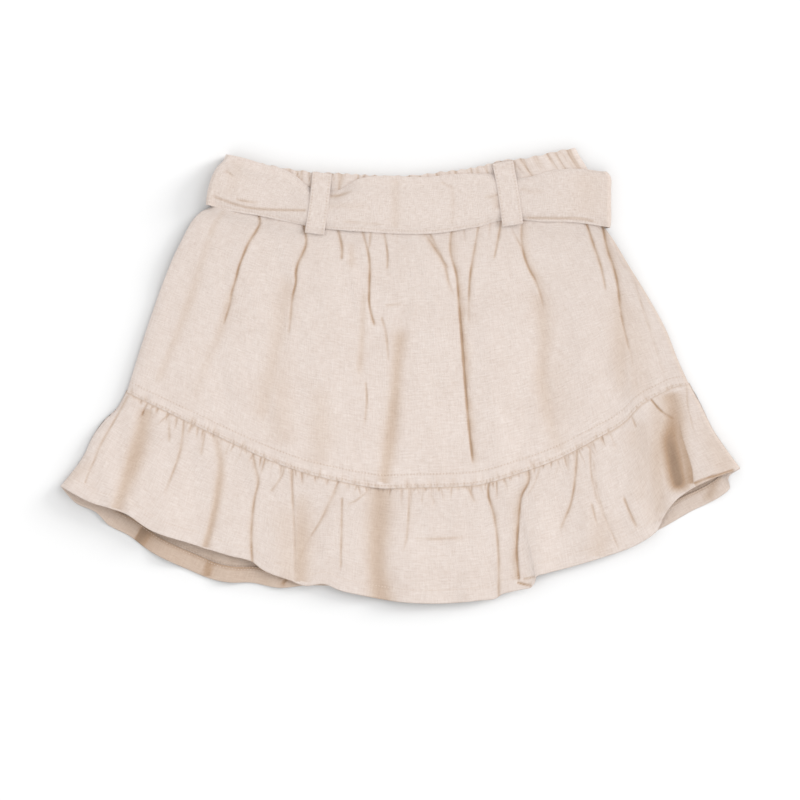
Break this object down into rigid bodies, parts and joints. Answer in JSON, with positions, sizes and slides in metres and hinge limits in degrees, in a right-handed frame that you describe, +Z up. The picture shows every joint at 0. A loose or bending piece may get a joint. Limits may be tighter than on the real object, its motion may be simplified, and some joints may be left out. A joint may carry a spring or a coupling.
{
  "type": "child's skort, laid flat",
  "caption": "Flat-laid linen skort: gathered A-line front and back, gathered ruffle hem, elastic waist, fabric belt in loops, and plain shorts inside.",
  "frame": {"origin": "on the surface that the skort lies on, below the middle of its outline", "axes": "+Z up through the front of the cloth, +Y towards the waist, +X towards the right of the picture"},
  "size_m": [0.442, 0.2951, 0.0124],
  "materials": {
    "linen": "plain-weave linen and cotton cloth, matt, soft creases",
    "jersey": "plain cotton jersey, matt"
  },
  "bodies": {
    "root": {"front_panel": "linen", "back_panel": "linen", "front_ruffle": "linen", "back_ruffle": "linen", "front_waistband": "linen", "back_waistband": "linen", "front_belt": "linen", "back_belt": "linen", "front_loop_left": "linen", "front_loop_right": "linen", "back_loop_left": "linen", "back_loop_right": "linen", "front_shorts_left": "jersey", "front_shorts_right": "jersey", "back_shorts_left": "jersey", "back_shorts_right": "jersey"}
  },
  "joints": []
}
